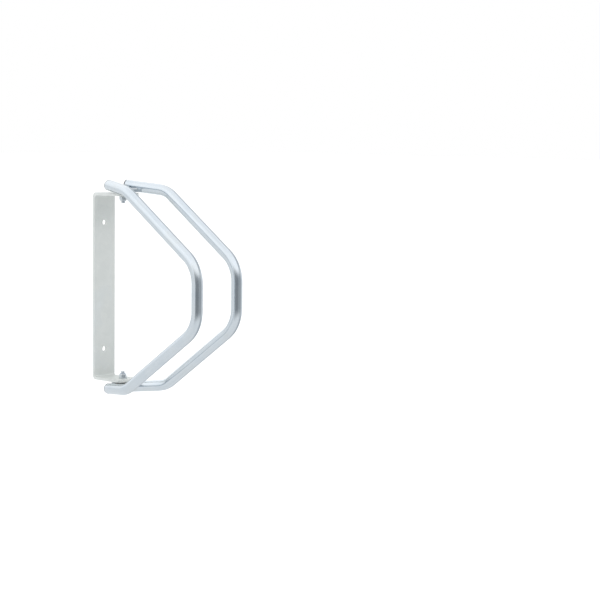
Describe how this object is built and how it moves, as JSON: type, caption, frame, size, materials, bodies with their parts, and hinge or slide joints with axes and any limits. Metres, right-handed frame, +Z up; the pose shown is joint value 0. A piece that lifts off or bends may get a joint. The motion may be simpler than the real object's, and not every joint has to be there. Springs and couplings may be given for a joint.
{
  "type": "bicycle wall rack",
  "caption": "Wall rack for one bicycle: a C-shaped wall bracket carries a pair of bent-tube hoops that grip the front wheel and swivel left or right on a vertical pivot.",
  "frame": {"origin": "centre of the wall bracket's back face, on the wall", "axes": "+Z up, the wall is the plane Y = 0 and the rack stands out towards -Y, +X to the right for a person who faces the wall"},
  "size_m": [0.093, 0.257, 0.3182],
  "materials": {
    "bracket_steel": "matte galvanised flat bar",
    "hoop_zinc": "bright zinc-plated tube",
    "web_zinc": "zinc-plated plate",
    "weld_metal": "zinc-plated weld bead",
    "fastener_zinc": "zinc-plated fastener",
    "nylon": "natural nylon",
    "insert_nylon": "coloured nylon ring",
    "plug_plastic": "black polyethylene"
  },
  "bodies": {
    "bracket": {"wall_bracket": "bracket_steel", "top_friction_washer": "nylon", "bottom_friction_washer": "nylon", "top_pivot_bolt": "fastener_zinc", "bottom_pivot_bolt": "fastener_zinc", "top_head_washer": "fastener_zinc", "bottom_head_washer": "fastener_zinc", "top_nut_washer": "fastener_zinc", "bottom_nut_washer": "fastener_zinc", "top_lock_nut": "fastener_zinc", "bottom_lock_nut": "fastener_zinc", "top_nut_insert": "insert_nylon", "bottom_nut_insert": "insert_nylon"},
    "wheel_holder": {"left_hoop": "hoop_zinc", "right_hoop": "hoop_zinc", "top_web_plate": "web_zinc", "bottom_web_plate": "web_zinc", "top_weld_beads": "weld_metal", "bottom_weld_beads": "weld_metal", "top_left_end_plug": "plug_plastic", "top_right_end_plug": "plug_plastic", "bottom_left_end_plug": "plug_plastic", "bottom_right_end_plug": "plug_plastic"}
  },
  "joints": [
    {"name": "holder_swivel", "type": "hinge", "parent": "bracket", "child": "wheel_holder", "pos_m": [0, -0.046, 0], "axis": [0, 0, 1], "range_deg": [-80, 80]}
  ]
}
